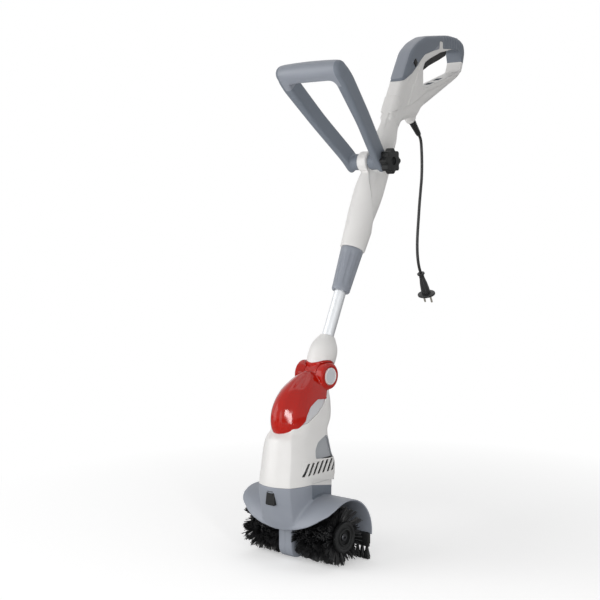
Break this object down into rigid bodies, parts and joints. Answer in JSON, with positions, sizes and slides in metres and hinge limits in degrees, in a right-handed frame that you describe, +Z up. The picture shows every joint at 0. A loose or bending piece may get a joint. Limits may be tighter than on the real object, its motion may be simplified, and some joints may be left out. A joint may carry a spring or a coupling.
{
  "type": "electric broom",
  "caption": "Upright electric broom with twin bristle drums under a guard, motor head, tilting telescopic stick, looped trigger grip, adjustable second handle and short mains cord.",
  "frame": {"origin": "middle of the footprint of everything but the free cord, on the ground", "axes": "X across the brushes, Y from the front to the person behind, Z up"},
  "size_m": [0.254, 0.6982, 1.1465],
  "materials": {
    "white_shell": "satin moulded ABS",
    "grey_plastic": "satin moulded plastic",
    "red_shell": "polished moulded plastic",
    "black_plastic": "fine moulded texture",
    "bristle": "nylon strands",
    "rubber": "smooth soft rubber",
    "steel": "machined",
    "aluminium_tube": "satin anodised",
    "brass": "machined",
    "copper_winding": "varnished copper",
    "carbon": "pressed carbon"
  },
  "bodies": {
    "head": {"motor_housing_left": "white_shell", "motor_housing_right": "white_shell", "motor_cap": "red_shell", "pivot_ear_left": "red_shell", "pivot_ear_right": "red_shell", "pivot_pin": "steel", "pivot_end_cap": "grey_plastic", "brush_guard": "grey_plastic", "rear_brush_holder": "black_plastic", "rear_brush": "bristle", "motor_stator": "steel", "upper_bearing": "steel", "lower_bearing": "steel", "left_carbon_brush": "carbon", "right_carbon_brush": "carbon", "gear_leg_left": "grey_plastic", "gear_leg_right": "grey_plastic", "leg_bearing_left": "steel", "leg_bearing_right": "steel"},
    "brushes": {"brush_shaft": "steel", "worm_wheel": "brass", "left_brush": "bristle", "right_brush": "bristle", "left_hub": "black_plastic", "right_hub": "black_plastic", "left_hub_screw": "steel", "right_hub_screw": "steel"},
    "rotor": {"worm_shaft": "steel", "motor_armature": "copper_winding", "motor_commutator": "copper_winding", "motor_fan": "black_plastic"},
    "guard_key": {"guard_latch": "black_plastic"},
    "tilt_key": {"tilt_button": "grey_plastic"},
    "stick": {"neck": "white_shell", "lower_tube": "aluminium_tube"},
    "upper": {"upper_shaft_left": "white_shell", "upper_shaft_right": "white_shell", "grip_cover": "grey_plastic", "clamp_collet": "black_plastic", "trigger_pin": "steel", "switch_block": "black_plastic", "cord_boot": "rubber", "mains_cord": "rubber", "plug_body": "rubber", "plug_pin_left": "brass", "plug_pin_right": "brass"},
    "sleeve": {"lock_sleeve": "grey_plastic"},
    "trigger_lever": {"trigger": "black_plastic"},
    "lock_key": {"lock_button": "black_plastic"},
    "aux": {"aux_handle": "grey_plastic", "aux_bolt": "steel"},
    "knob": {"star_knob": "black_plastic", "knob_insert": "brass"}
  },
  "joints": [
    {"name": "brush_spin", "type": "hinge", "parent": "head", "child": "brushes", "pos_m": [0, -0.24709, 0.062], "axis": [1, 0, 0], "continuous": true},
    {"name": "rotor_spin", "type": "hinge", "parent": "head", "child": "rotor", "pos_m": [0, -0.27909, 0.062], "axis": [0, 0, 1], "continuous": true},
    {"name": "latch_press", "type": "slide", "parent": "head", "child": "guard_key", "axis": [0, 1, 0], "range_m": [0, 0.003], "stiffness_N_per_m": 600, "springref_m": -0.002},
    {"name": "tilt_release", "type": "slide", "parent": "head", "child": "tilt_key", "axis": [-1, 0, 0], "range_m": [0, 0.003], "stiffness_N_per_m": 900, "springref_m": -0.002},
    {"name": "head_tilt", "type": "hinge", "parent": "head", "child": "stick", "pos_m": [0, -0.19709, 0.383], "axis": [1, 0, 0], "range_deg": [-40, 25]},
    {"name": "tube_slide", "type": "slide", "parent": "stick", "child": "upper", "axis": [0, 0.4226, 0.9063], "range_m": [-0.08, 0.12]},
    {"name": "sleeve_twist", "type": "hinge", "parent": "upper", "child": "sleeve", "pos_m": [0, -0.09566, 0.60051], "axis": [0, 0.4226, 0.9063], "range_deg": [-30, 30]},
    {"name": "trigger_pull", "type": "hinge", "parent": "upper", "child": "trigger_lever", "pos_m": [0, 0.17837, 1.07733], "axis": [1, 0, 0], "range_deg": [0, 6], "stiffness_Nm_per_rad": 2, "springref_deg": -2.86},
    {"name": "lock_press", "type": "slide", "parent": "upper", "child": "lock_key", "axis": [-1, 0, 0], "range_m": [0, 0.003], "stiffness_N_per_m": 500, "springref_m": -0.002},
    {"name": "aux_handle_tilt", "type": "hinge", "parent": "upper", "child": "aux", "pos_m": [0, -0.02342, 0.83826], "axis": [1, 0, 0], "range_deg": [-60, 35]},
    {"name": "knob_turn", "type": "hinge", "parent": "aux", "child": "knob", "pos_m": [0.06, -0.02342, 0.83826], "axis": [1, 0, 0], "continuous": true}
  ],
  "couplings": [
    {"joint": "rotor_spin", "follows": "brush_spin", "ratio": 24}
  ]
}
